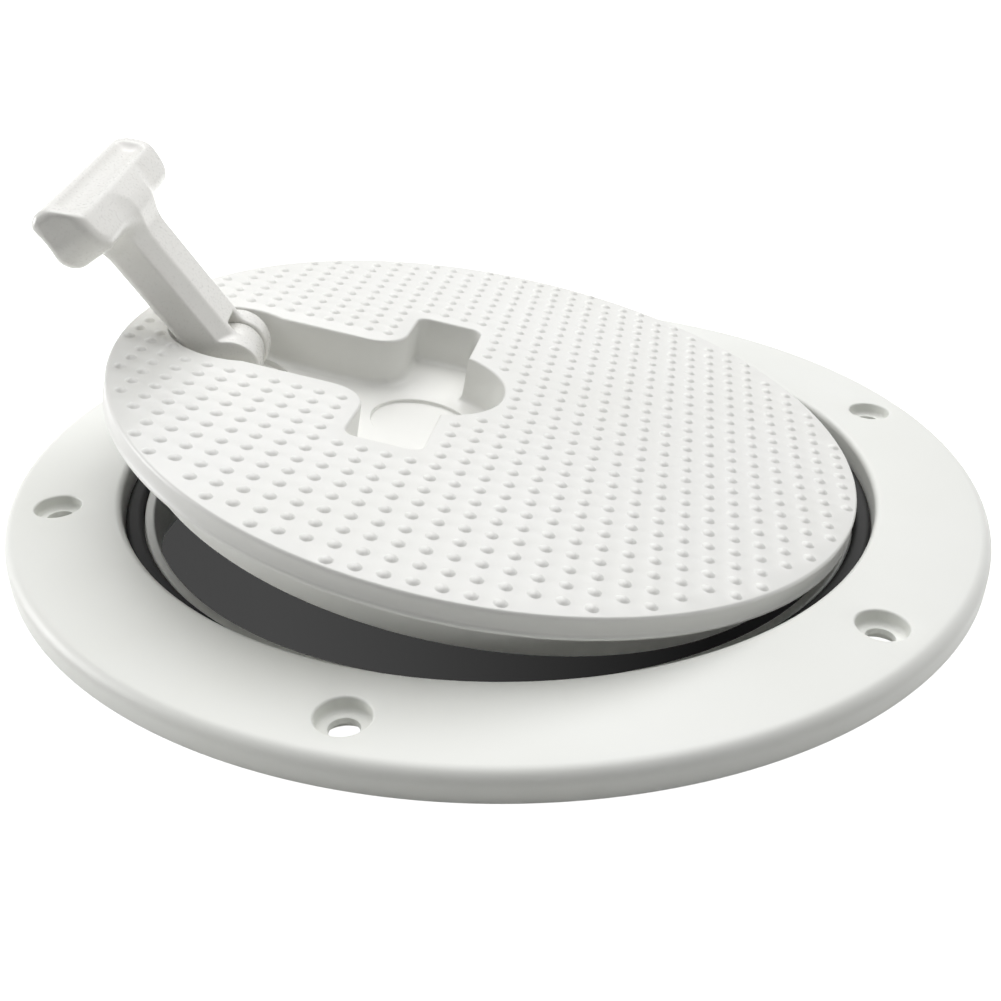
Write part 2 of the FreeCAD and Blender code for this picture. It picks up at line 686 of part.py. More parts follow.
def make_handle():
    """T handle with a forked foot, lying along +X from the pin's axis, which is Y here."""
    top = "(pin_drop - handle_top_gap)"
    floor = "(pocket_depth - pin_drop - handle_floor_gap)"
    bar_near = "(bar_offset - bar_width / 2)"
    bar_far = "(bar_offset + bar_width / 2)"
    ear_end = "-(foot_radius + ear_end_margin)"
    plan = slab("handle_plan", [
        (ear_end, "-ear_end_half_width"),
        ("ear_crease_offset", "-stem_half_width"),
        (bar_near, "-stem_half_width"),
        (bar_near, "-bar_half_length"),
        (bar_far, "-bar_half_length"),
        (bar_far, "bar_half_length"),
        (bar_near, "bar_half_length"),
        (bar_near, "stem_half_width"),
        ("ear_crease_offset", "stem_half_width"),
        (ear_end, "ear_end_half_width"),
    ], f"{floor} + {top}", True)
    bind(plan, Placement__Base__z=f"-{floor}")
    near = value(bar_near)
    half = value("bar_half_length")
    stem = value("stem_half_width")

    def bar_corner(edge, far):
        at_end = upright(edge) and abs(abs(edge.CenterOfMass.y) - half) < 0.01
        return at_end and (edge.CenterOfMass.x > near + 1) == far

    def neck(edge):
        at_stem = abs(abs(edge.CenterOfMass.y) - stem) < 0.01
        return upright(edge) and at_stem and abs(edge.CenterOfMass.x - near) < 0.01

    plan = round_edges("handle_far_corners", plan, "bar_far_corner", lambda edge: bar_corner(edge, True))
    plan = round_edges("handle_near_corners", plan, "bar_near_corner", lambda edge: bar_corner(edge, False))
    plan = round_edges("handle_necks", plan, "neck_round", neck)

    side = slab("handle_side", [
        ("0", f"{top}"),
        ("bar_offset + bar_width", f"{top}"),
        ("bar_offset + bar_width", f"-{floor}"),
        (f"{bar_near} - bar_step_end", f"-{floor}"),
        (f"{bar_near} - bar_step_start", f"{top} - stem_thickness"),
        ("0", f"{top} - stem_thickness"),
    ], "3 * bar_half_length", False)
    foot = cylinder("handle_foot", "foot_radius", "2 * stem_half_width", "0", "-stem_half_width", "0",
                    along_y=True)
    form = doc.addObject("Part::MultiCommon", "handle_form")
    form.Shapes = [plan, fuse("handle_silhouette", [side, foot])]

    slot_half = "(tab_width / 2 + ear_slot_gap)"
    slot = box("ear_slot", f"ear_slot_reach - {ear_end}", f"2 * {slot_half}", "2 * foot_radius",
               ear_end, f"-{slot_half}", "-foot_radius")
    hole = cylinder("handle_pin_hole", "pin_radius + pin_hole_gap", "2 * stem_half_width", "0",
                    "-stem_half_width", "0", along_y=True)
    high = value(top)
    low = -value(floor)
    crease = value("ear_crease_offset")

    def outer_edge(edge):
        beyond_foot = edge.BoundBox.XMin > crease - 0.01 and edge.BoundBox.YLength + edge.BoundBox.XLength > 0.1
        return beyond_foot and (level(edge, high) or level(edge, low)) and edge.CenterOfMass.y != 0

    rounded = round_edges("handle_rounded", form, "bar_edge_round", outer_edge)
    groove = box("grip_groove", "2 * grip_groove_depth", "2 * grip_groove_half_length", "grip_groove_height",
                 f"{bar_far} - grip_groove_depth", "-grip_groove_half_length",
                 f"({top} - {floor} - grip_groove_height) / 2")
    return cut("handle", rounded, fuse("handle_openings", [slot, hole, groove]))


def along(x, y, z):
    return Placement(Vector(x, y, z), Rotation())


def turned(axis, angle):
    return Placement(Vector(0, 0, 0), Rotation(axis, angle))


frame = make_frame()
seal = make_seal()
lid = make_lid()
handle = make_handle()
doc.recompute()

tilt_line = Vector(value("tilt_axis_x"), 0, value("tilt_axis_z"))
tipped = along(*tilt_line) * turned(Vector(0, 1, 0), value("tilt_angle")) * along(*(-tilt_line))
lid_pose = tipped * along(0, 0, value(LID_TOP))
axis_pose = lid_pose * along(-value("spindle_offset"), 0, 0)
spindle_pose = axis_pose * turned(Vector(0, 0, 1), value("handle_yaw"))
arm_pose = spindle_pose * turned(Vector(0, 0, 1), value("arm_angle"))
handle_pose = (spindle_pose * along(0, 0, -value("pin_drop"))
               * turned(Vector(0, -1, 0), value("handle_fold")))
o_ring_pose = axis_pose * along(0, 0, -value(f"{WASHER_SEAT} + o_ring_section_radius"))

spindle = make_spindle()
pin = make_pin()
thrust_washer = make_washer("thrust_washer", SHAFT_HOLE, "thrust_washer_radius",
                            "thrust_washer_thickness", WASHER_SEAT)
o_ring = make_o_ring()
arm = make_arm()
arm_washer = make_washer("arm_washer", "arm_screw_radius + arm_washer_gap", "arm_washer_radius",
                         "arm_washer_thickness", f"{ARM_TOP} + arm_thickness + arm_washer_thickness")
screw = make_screw()
doc.recompute()

pieces = {
    "frame": (frame, Placement()),
    "lid_seal": (seal, Placement()),
    "lid": (lid, lid_pose),
    "handle": (handle, handle_pose),
    "latch_spindle": (spindle, spindle_pose),
    "handle_pin": (pin, spindle_pose),
    "thrust_washer": (thrust_washer, spindle_pose),
    "spindle_o_ring": (o_ring, o_ring_pose),
    "latch_arm": (arm, arm_pose),
    "arm_washer": (arm_washer, spindle_pose),
    "arm_screw": (screw, spindle_pose),
}
for label, (piece, pose) in pieces.items():
    piece.Label = label
    piece.Placement = pose
doc.recompute()

for item in doc.Objects:
    if "Invalid" in item.State or "Error" in item.State:
        raise RuntimeError(f"{item.Name}: {item.State}")
for label, (piece, pose) in pieces.items():
    if piece.Shape.isNull() or not piece.Shape.isValid():
        raise RuntimeError(f"{label} has no valid shape")

os.makedirs("parts", exist_ok=True)
for label, (piece, pose) in pieces.items():
    piece.Shape.exportStep(f"parts/{label}.step")
    print(label, len(piece.Shape.Solids), round(piece.Shape.Volume, 1))
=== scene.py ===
import json
import math

import bmesh
import bpy
import numpy as np
from mathutils import Matrix, Vector, geometry


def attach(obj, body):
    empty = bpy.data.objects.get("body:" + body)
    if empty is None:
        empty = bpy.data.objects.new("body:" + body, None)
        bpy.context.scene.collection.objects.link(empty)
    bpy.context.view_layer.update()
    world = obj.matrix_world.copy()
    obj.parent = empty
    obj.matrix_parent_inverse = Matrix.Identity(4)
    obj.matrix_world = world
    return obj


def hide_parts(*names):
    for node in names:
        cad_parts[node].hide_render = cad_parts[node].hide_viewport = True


# A round deck access hatch: white flanged frame, tipped-up lid with a studded top, folding T handle.
# Meshes are drawn in millimetres in the place of each moulding's own tool, then set in the frame in metres.

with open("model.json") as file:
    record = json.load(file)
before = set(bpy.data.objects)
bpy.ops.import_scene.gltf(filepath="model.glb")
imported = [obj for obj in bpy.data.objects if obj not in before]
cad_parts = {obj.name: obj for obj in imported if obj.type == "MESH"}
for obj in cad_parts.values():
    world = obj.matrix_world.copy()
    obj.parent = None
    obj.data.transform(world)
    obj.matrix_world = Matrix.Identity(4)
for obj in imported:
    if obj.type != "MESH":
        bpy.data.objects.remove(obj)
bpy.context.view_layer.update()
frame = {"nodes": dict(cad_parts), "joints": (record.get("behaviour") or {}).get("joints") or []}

MILLIMETRE = 0.001
JOINTS = {joint["name"]: joint for joint in frame["joints"]}

# Frame, in section
LIP_RADIUS = 80.6
FLANGE_RADIUS = 103.0
FLANGE_HEIGHT = 5.5
FLANGE_CORNER = 2.5
FLANGE_ROOF = 2.0
FLANGE_RIM_WALL = 3.0
LIP_CORNER = 1.4
CHANNEL_FLOOR = -1.3
CHANNEL_INNER = 76.7
BORE = 74.7
COAMING_HEIGHT = 0.2
COAMING_CORNER = 0.5
CATCH_RING_DEPTH = 10.3
COLLAR_RADIUS = 82.6
COLLAR_WALL = 2.5
COLLAR_DEPTH = 20.0
PAD_RADIUS = 86.0
DECK_RIBS = 12
DECK_RIB_WIDTH = 2.0
SCREW_COUNT = 6
SCREW_CIRCLE = 92.9
FIRST_SCREW = 24.6
SCREW_HOLE = 2.5
SCREW_HEAD = 4.57
SCREW_HEAD_DEPTH = 2.5
SCREW_BOSS = 4.8
SCREW_MOUTH_ROUND = 0.45
SCREW_FLOOR_ROUND = 0.7
SCREW_RELIEF = 4.2

# Seal
SEAL_GAP = 0.2
SEAL_TOP = 1.2
SEAL_ROUND = 1.1

# Lid, measured down from its top
LID_TOP = 6.0
LID_RADIUS = 79.8
LID_EDGE_HEIGHT = 4.4
LID_EDGE_ROUND = 0.9
LID_BEAD = 0.3
LID_PLATE = 3.0
SKIRT_TOP = 74.2
SKIRT_END = 73.1
SKIRT_DEPTH = 13.2
SKIRT_WALL = 2.4
LID_RIBS = 4
LID_RIB_WIDTH = 2.0
LID_RIB_DEPTH = 8.0
TONGUE_HALF_ANGLE = 10.5
TONGUE_TOP = 17.6
TONGUE_THICKNESS = 2.5
TONGUE_TIP = 76.7
SPINDLE_OFFSET = 58.0
POCKET_DEPTH = 11.0
POCKET_FLOOR = 2.4
POCKET_WALL = 2.2
POCKET_MOUTH_ROUND = 0.6
POCKET_FLOOR_ROUND = 1.8
POCKET_END_RADIUS = 14.4
STEM_SLOT_HALF_WIDTH = 13.05
BAR_SLOT_START = 8.5
BAR_SLOT_BACK = 24.0
BAR_SLOT_HALF_LENGTH = 33.4
BAR_SLOT_CORNER = 2.5
SLOT_JUNCTION_ROUND = 8.0
SCOOP_OFFSET = 14.3
SCOOP_RADIUS = 16.7
LABEL_RADIUS = 11.5
LABEL_DEPTH = 0.8
LABEL_ROUND = 0.15
CAM_SEAT_RADIUS = 13.2
CAM_SEAT_DEPTH = 12.2
WASHER_SEAT_RADIUS = 7.65
WASHER_SEAT_DEPTH = 13.2
RING_SEAT_RADIUS = 5.75
RING_SEAT_DEPTH = 14.4
SHAFT_HOLE = 4.55
BOSS_RADIUS = 9.5
BOSS_DEPTH = 16.2

# Studs
STUD_PITCH = 4.756
STUD_RADIUS = 1.28
STUD_FOOT = 0.09
STUD_HEIGHT = 0.6
STUD_SIDES = 14
STUD_FIELD = 77.45
STUD_CLEARANCE = 1.5

# Handle
PIN_DROP = 5.2
PIN_HOLE = 1.65
HANDLE_TOP = 5.0
HANDLE_FLOOR = -5.5
STEM_FLOOR = -4.8
STEM_HALF_WIDTH = 9.6
STEM_ROUND = 2.2
STEM_PANEL_HALF_WIDTH = 5.6
STEM_BEVEL = (0.53, -0.848)
FOOT_RADIUS = 6.7
EAR_CREASE = 5.2
EAR_END_HALF_WIDTH = 8.0
EAR_SLOT_HALF = 3.45
EAR_SLOT_REACH = 7.2
SKIN_STEP = 0.36
BAR_NEAR = 35.3
BAR_FAR = 48.0
BAR_OFFSET = 41.3
BAR_HALF_LENGTH = 29.0
BAR_GRIP_CORNER = 2.2
BAR_NECK_CORNER = 6.0
BAR_TOP_ROUND = 2.8
BAR_TOP_SLOPE = 0.16
TROUGH_RADIUS = 4.3
GROOVE_HALF_LENGTH = 22.0
GROOVE_RADIUS = 4.5
GRIP_RIDGE = 43.4
GRIP_SLOPE = (0.73, -0.684)

SMOOTH_STEPS = 8
ROUND_STEPS = 256


def linear(hex_colour):
    """sRGB hex as the linear colour that a shader takes."""
    channels = [int(hex_colour[index:index + 2], 16) / 255 for index in (1, 3, 5)]
    return [c / 12.92 if c <= 0.04045 else ((c + 0.055) / 1.055) ** 2.4 for c in channels] + [1.0]


def spacing(size):
    """Scale of a pattern whose spots lie so many millimetres apart."""
    return 1 / (size * MILLIMETRE)


def bare_material(name):
    """New material with an empty node tree."""
    material = bpy.data.materials.new(name)
    material.use_nodes = True
    material.node_tree.nodes.clear()
    return material, material.node_tree


def add_node(tree, kind, settings=None, links=None):
    """A node with its settings; links give each of its inputs a value or another node's output."""
    node = tree.nodes.new(kind)
    for name, setting in (settings or {}).items():
        setattr(node, name, setting)
    for socket, source in (links or {}).items():
        if isinstance(source, bpy.types.NodeSocket):
            tree.links.new(source, node.inputs[socket])
        else:
            node.inputs[socket].default_value = source
    return node


def moulded_plastic(name, pale, deep, roughness, grain, relief, sheen=0.0):
    """Injection moulded plastic: slow drifts of shade from the flow in the mould, and the mould's fine grain."""
    material, tree = bare_material(name)
    place = add_node(tree, "ShaderNodeTexCoord")
    spot = place.outputs["Object"]
    flow = add_node(tree, "ShaderNodeTexNoise", links={"Vector": spot, "Scale": spacing(35.7), "Detail": 2.0})
    tone = add_node(tree, "ShaderNodeValToRGB", links={"Fac": flow.outputs["Fac"]})
    tone.color_ramp.elements[0].position = 0.3
    tone.color_ramp.elements[0].color = linear(deep)
    tone.color_ramp.elements[1].position = 0.7
    tone.color_ramp.elements[1].color = linear(pale)
    texture = add_node(tree, "ShaderNodeTexNoise",
                       links={"Vector": spot, "Scale": spacing(grain), "Detail": 3.0})
    polish = add_node(tree, "ShaderNodeMapRange",
                      links={"Value": texture.outputs["Fac"], "From Min": 0.3, "From Max": 0.7,
                             "To Min": roughness - 0.05, "To Max": roughness + 0.05})
    bump = add_node(tree, "ShaderNodeBump",
                    links={"Height": texture.outputs["Fac"], "Strength": 0.5, "Distance": relief * MILLIMETRE})
    shader = add_node(tree, "ShaderNodeBsdfPrincipled",
                      links={"Base Color": tone.outputs["Color"], "Roughness": polish.outputs["Result"],
                             "Normal": bump.outputs["Normal"], "IOR": 1.52})
    shader.inputs["Coat Weight"].default_value = sheen
    add_node(tree, "ShaderNodeOutputMaterial", links={"Surface": shader.outputs["BSDF"]})
    return material


def black_rubber():
    """Extruded EPDM cord: near black and matt, with the faint cloudy bloom that such rubber has."""
    material, tree = bare_material("epdm_rubber")
    place = add_node(tree, "ShaderNodeTexCoord")
    bloom = add_node(tree, "ShaderNodeTexNoise",
                     links={"Vector": place.outputs["Object"], "Scale": spacing(2.5), "Detail": 3.0})
    tone = add_node(tree, "ShaderNodeValToRGB", links={"Fac": bloom.outputs["Fac"]})
    tone.color_ramp.elements[0].color = linear("#020202")
    tone.color_ramp.elements[1].color = linear("#060606")
    bump = add_node(tree, "ShaderNodeBump",
                    links={"Height": bloom.outputs["Fac"], "Strength": 0.3, "Distance": 0.02 * MILLIMETRE})
    shader = add_node(tree, "ShaderNodeBsdfPrincipled",
                      links={"Base Color": tone.outputs["Color"], "Roughness": 0.70, "IOR": 1.5,
                             "Normal": bump.outputs["Normal"]})
    add_node(tree, "ShaderNodeOutputMaterial", links={"Surface": shader.outputs["BSDF"]})
    return material


def turned_steel():
    """Stainless bar turned on a lathe: bright grey, with a fine unevenness of polish from the tool."""
    material, tree = bare_material("stainless_turned")
    place = add_node(tree, "ShaderNodeTexCoord")
    marks = add_node(tree, "ShaderNodeTexNoise",
                     links={"Vector": place.outputs["Object"], "Scale": spacing(1 / 3), "Detail": 2.0})
    polish = add_node(tree, "ShaderNodeMapRange",
                      links={"Value": marks.outputs["Fac"], "To Min": 0.18, "To Max": 0.34})
    shader = add_node(tree, "ShaderNodeBsdfPrincipled",
                      links={"Base Color": linear("#b9b8b5"), "Metallic": 1.0,
                             "Roughness": polish.outputs["Result"]})
    add_node(tree, "ShaderNodeOutputMaterial", links={"Surface": shader.outputs["BSDF"]})
    return material


def rounded(corners, steps=SMOOTH_STEPS):
    """Closed outline through corners (x, y, radius), each corner with a radius as an arc."""
    points = []
    count = len(corners)
    for index, (x, y, radius) in enumerate(corners):
        corner = Vector((x, y))
        if not radius:
            points.append(corner)
            continue
        before = (Vector(corners[index - 1][:2]) - corner).normalized()
        after = (Vector(corners[(index + 1) % count][:2]) - corner).normalized()
        half = before.angle(after) / 2
        centre = corner + (before + after).normalized() * radius / math.sin(half)
        start = corner + before * radius / math.tan(half) - centre
        end = corner + after * radius / math.tan(half) - centre
        sweep = math.atan2(start.cross(end), start.dot(end))
        for step in range(steps + 1):
            points.append(centre + Matrix.Rotation(sweep * step / steps, 2) @ start)
    return points


def add_rings(form, rings):
    """Faces between rings of as many points each; the rings' vertices come back."""
    made = [[form.verts.new(point) for point in ring] for ring in rings]
    for lower, upper in zip(made, made[1:]):
        for index in range(len(lower)):
            after = (index + 1) % len(lower)
            form.faces.new((lower[index], lower[after], upper[after], upper[index]))
    return made


def turned(section, steps=ROUND_STEPS, start=0.0, sweep=360.0):
    """Closed section of (radius, height) turned about Z, as a ring or a sector of one."""
    form = bmesh.new()
    whole = sweep >= 360.0
    places = steps if whole else steps + 1
    rings = []
    for step in range(places):
        angle = math.radians(start + sweep * step / steps)
        rings.append([(r * math.cos(angle), r * math.sin(angle), z) for r, z in section])
    if whole:
        rings.append(rings[0])
    made = add_rings(form, rings)
    if not whole:
        form.faces.new(made[0])
        form.faces.new(list(reversed(made[-1])))
    bmesh.ops.remove_doubles(form, verts=form.verts, dist=1e-5)
    bmesh.ops.recalc_face_normals(form, faces=form.faces)
    return form


def stacked(rings):
    """Closed form of rings from one flat end to the other."""
    form = bmesh.new()
    made = add_rings(form, rings)
    form.faces.new(list(reversed(made[0])))
    form.faces.new(made[-1])
    bmesh.ops.recalc_face_normals(form, faces=form.faces)
    return form


def disc_rings(section, steps, x=0.0, y=0.0):
    """Rings of a solid turned about an upright axis at x, y."""
    turns = [math.tau * step / steps for step in range(steps)]
    return [[(x + r * math.cos(a), y + r * math.sin(a), z) for a in turns] for r, z in section]


def block(low, high, turn=0.0):
    """Box between two corners, turned about Z."""
    form = bmesh.new()
    bmesh.ops.create_cube(form, size=1.0)
    size = Vector(high) - Vector(low)
    middle = (Vector(high) + Vector(low)) / 2
    place = Matrix.Rotation(math.radians(turn), 4, "Z") @ Matrix.Translation(middle) @ Matrix.Diagonal((*size, 1))
    form.transform(place)
    return form


def solid(name, form):
    mesh = bpy.data.meshes.new(name)
    form.to_mesh(mesh)
    form.free()
    made = bpy.data.objects.new(name, mesh)
    bpy.context.scene.collection.objects.link(made)
    return made


def settle(made):
    """Put the result of an object's modifiers in its mesh."""
    bpy.context.view_layer.update()
    shown = made.evaluated_get(bpy.context.evaluated_depsgraph_get())
    mesh = bpy.data.meshes.new_from_object(shown)
    old = made.data
    made.modifiers.clear()
    made.data = mesh
    bpy.data.meshes.remove(old)


def join_or_cut(base, forms, operation):
    """Union of the base with each form, or each form cut out of it."""
    for form in forms:
        tool = solid("tool", form)
        change = base.modifiers.new(operation, "BOOLEAN")
        change.operation = operation
        change.solver = "MANIFOLD"
        change.object = tool
        settle(base)
        bpy.data.objects.remove(tool)
    return base


def finish_piece(piece, material, body, replaces, pose=Matrix.Identity(4), crease=35.0):
    """Set a piece drawn in millimetres in its place, with its finish, on its body."""
    piece.data.transform(pose @ Matrix.Scale(MILLIMETRE, 4))
    piece.data.shade_smooth()
    piece.data.set_sharp_from_angle(angle=math.radians(crease))
    piece.data.materials.clear()
    piece.data.materials.append(material)
    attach(piece, body)
    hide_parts(*replaces)


def about(joint, angle):
    """Turn about a joint's line, in metres."""
    place = Matrix.Translation(Vector(joint["pos_m"]))
    return place @ Matrix.Rotation(math.radians(angle), 4, Vector(joint["axis"])) @ place.inverted()


def lid_pose():
    """From the lid's own place, its top's middle at the origin, to where it rests tipped up."""
    tilt = JOINTS["lid_tilt"]
    return about(tilt, -tilt["range_deg"][0]) @ Matrix.Translation((0, 0, LID_TOP * MILLIMETRE))


def make_frame():
    """Flange, seal channel, coaming and collar turned in one, with ribs, bosses and screw holes."""
    rim = FLANGE_RADIUS - FLANGE_RIM_WALL
    inside = COLLAR_RADIUS - COLLAR_WALL
    section = rounded([
        (FLANGE_RADIUS, 0, 0.3),
        (FLANGE_RADIUS, FLANGE_HEIGHT, FLANGE_CORNER),
        (LIP_RADIUS, FLANGE_HEIGHT, LIP_CORNER),
        (LIP_RADIUS, CHANNEL_FLOOR, 0),
        (CHANNEL_INNER, CHANNEL_FLOOR, 0),
        (CHANNEL_INNER, COAMING_HEIGHT, COAMING_CORNER),
        (BORE, COAMING_HEIGHT, COAMING_CORNER),
        (BORE, -CATCH_RING_DEPTH, 0.3),
        (inside, -CATCH_RING_DEPTH, 0),
        (inside, -COLLAR_DEPTH, 0.3),
        (COLLAR_RADIUS, -COLLAR_DEPTH, 0.3),
        (COLLAR_RADIUS, 0, 0),
        (PAD_RADIUS, 0, 0),
        (PAD_RADIUS, FLANGE_ROOF, 0),
        (rim, FLANGE_ROOF, 0),
        (rim, 0, 0),
    ])
    piece = solid("deck_flange", turned(section))
    bite = 0.3
    rib_angle = 360 / DECK_RIBS
    added = [block((PAD_RADIUS - bite, -DECK_RIB_WIDTH / 2, 0),
                   (rim + bite, DECK_RIB_WIDTH / 2, FLANGE_ROOF + bite),
                   FIRST_SCREW + rib_angle * (index + 0.5)) for index in range(DECK_RIBS)]
    cuts = []
    for index in range(SCREW_COUNT):
        angle = math.radians(FIRST_SCREW + 360 * index / SCREW_COUNT)
        x = SCREW_CIRCLE * math.cos(angle)
        y = SCREW_CIRCLE * math.sin(angle)
        added.append(stacked(disc_rings([(SCREW_BOSS, 0), (SCREW_BOSS, FLANGE_ROOF + bite)], 48, x, y)))
        cuts.append(stacked(disc_rings(screw_hole_section(), 64, x, y)))
    join_or_cut(piece, added, "UNION")
    join_or_cut(piece, cuts, "DIFFERENCE")
    return piece


def screw_hole_section():
    """Stepped hole from below the flange to above it, with an eased mouth and a soft seat."""
    seat = FLANGE_HEIGHT - SCREW_HEAD_DEPTH
    mouth = [(SCREW_HEAD + SCREW_MOUTH_ROUND * (1 - math.sin(turn)),
              FLANGE_HEIGHT - SCREW_MOUTH_ROUND * (1 - math.cos(turn)))
             for turn in (math.pi / 2 * step / 6 for step in range(6, -1, -1))]
    floor = [(SCREW_HEAD - SCREW_FLOOR_ROUND * (1 - math.cos(turn)),
              seat + SCREW_FLOOR_ROUND * (1 - math.sin(turn)))
             for turn in (math.pi / 2 * step / 6 for step in range(6, -1, -1))]
    hole = [(SCREW_RELIEF, -1.0), (SCREW_RELIEF, FLANGE_ROOF - 0.2), (SCREW_HOLE, FLANGE_ROOF - 0.1),
            (SCREW_HOLE, seat - 0.25), (SCREW_HOLE + 0.08, seat - 0.08), (SCREW_HOLE + 0.25, seat)]
    return hole + floor + mouth + [(mouth[-1][0], FLANGE_HEIGHT + 1)]


def make_seal():
    """Rubber ring in the channel, with a rounded top."""
    inner = CHANNEL_INNER + SEAL_GAP
    outer = LIP_RADIUS - SEAL_GAP
    return solid("seal_ring", turned(rounded([
        (inner, CHANNEL_FLOOR, 0.2),
        (inner, SEAL_TOP, SEAL_ROUND),
        (outer, SEAL_TOP, SEAL_ROUND),
        (outer, CHANNEL_FLOOR, 0.2),
    ])))


def arc(x, y, radius, start, end, steps=SMOOTH_STEPS):
    """Points on a circle from one angle to another, in degrees."""
    points = []
    for step in range(steps + 1):
        angle = math.radians(start + (end - start) * step / steps)
        points.append((x + radius * math.cos(angle), y + radius * math.sin(angle)))
    return points


def pocket_outline(grow):
    """Plan of the handle pocket on the lid, grown sideways; each growth has its points in the same order."""
    stem = STEM_SLOT_HALF_WIDTH + grow
    end = POCKET_END_RADIUS + grow
    scoop = SCOOP_RADIUS + grow
    corner = BAR_SLOT_CORNER + grow
    start = BAR_SLOT_START - grow
    corner_x = BAR_SLOT_START + BAR_SLOT_CORNER
    far_corner_x = BAR_SLOT_BACK - BAR_SLOT_CORNER
    corner_y = BAR_SLOT_HALF_LENGTH - BAR_SLOT_CORNER
    junction = SLOT_JUNCTION_ROUND - grow
    meet_end = math.degrees(math.asin(stem / end))
    meet_scoop = math.degrees(math.acos((SCOOP_OFFSET - start) / scoop))
    half = arc(-SPINDLE_OFFSET, 0, end, 180, meet_end, 24)
    half += arc(-BAR_SLOT_BACK - SLOT_JUNCTION_ROUND, STEM_SLOT_HALF_WIDTH + SLOT_JUNCTION_ROUND,
                junction, -90, 0)
    half += arc(-far_corner_x, corner_y, corner, 180, 90)
    half += arc(-corner_x, corner_y, corner, 90, 0)
    half += arc(-SCOOP_OFFSET, 0, scoop, meet_scoop, 0, 20)
    other = [(x, -y) for x, y in reversed(half[1:-1])]
    return half + other


def pocket_rings(levels):
    return [[(x, y, z) for x, y in pocket_outline(grow)] for grow, z in levels]


def quarter(steps):
    return [math.pi / 2 * step / steps for step in range(steps + 1)]


def pocket_cavity():
    """The pocket's hollow, from its floor up, with soft floor edges and a soft mouth."""
    soft = POCKET_FLOOR_ROUND
    levels = [(-soft * (1 - math.sin(turn)), -POCKET_DEPTH + soft * (1 - math.cos(turn))) for turn in quarter(7)]
    levels += [(POCKET_MOUTH_ROUND * (1 - math.cos(turn)), -POCKET_MOUTH_ROUND * (1 - math.sin(turn)))
               for turn in quarter(5)]
    levels.append((POCKET_MOUTH_ROUND, 2.0))
    return stacked(pocket_rings(levels))


def pocket_walls():
    """Walls and floor round the pocket, kept inside the skirt."""
    depth = POCKET_DEPTH + POCKET_FLOOR
    seat_depth = CAM_SEAT_DEPTH + POCKET_FLOOR
    walls = solid("pocket_walls", stacked(pocket_rings([(POCKET_WALL, -depth), (POCKET_WALL, -1.0)])))
    seat_wall = CAM_SEAT_RADIUS + POCKET_WALL
    seat = stacked(disc_rings([(seat_wall, -seat_depth), (seat_wall, -2.0)], 96, -SPINDLE_OFFSET))
    join_or_cut(walls, [seat], "UNION")
    inside = SKIRT_END - SKIRT_WALL / 2
    join_or_cut(walls, [stacked(disc_rings([(inside, -2 * SKIRT_DEPTH), (inside, 0)], ROUND_STEPS))], "INTERSECT")
    form = bmesh.new()
    form.from_mesh(walls.data)
    bpy.data.objects.remove(walls)
    return form


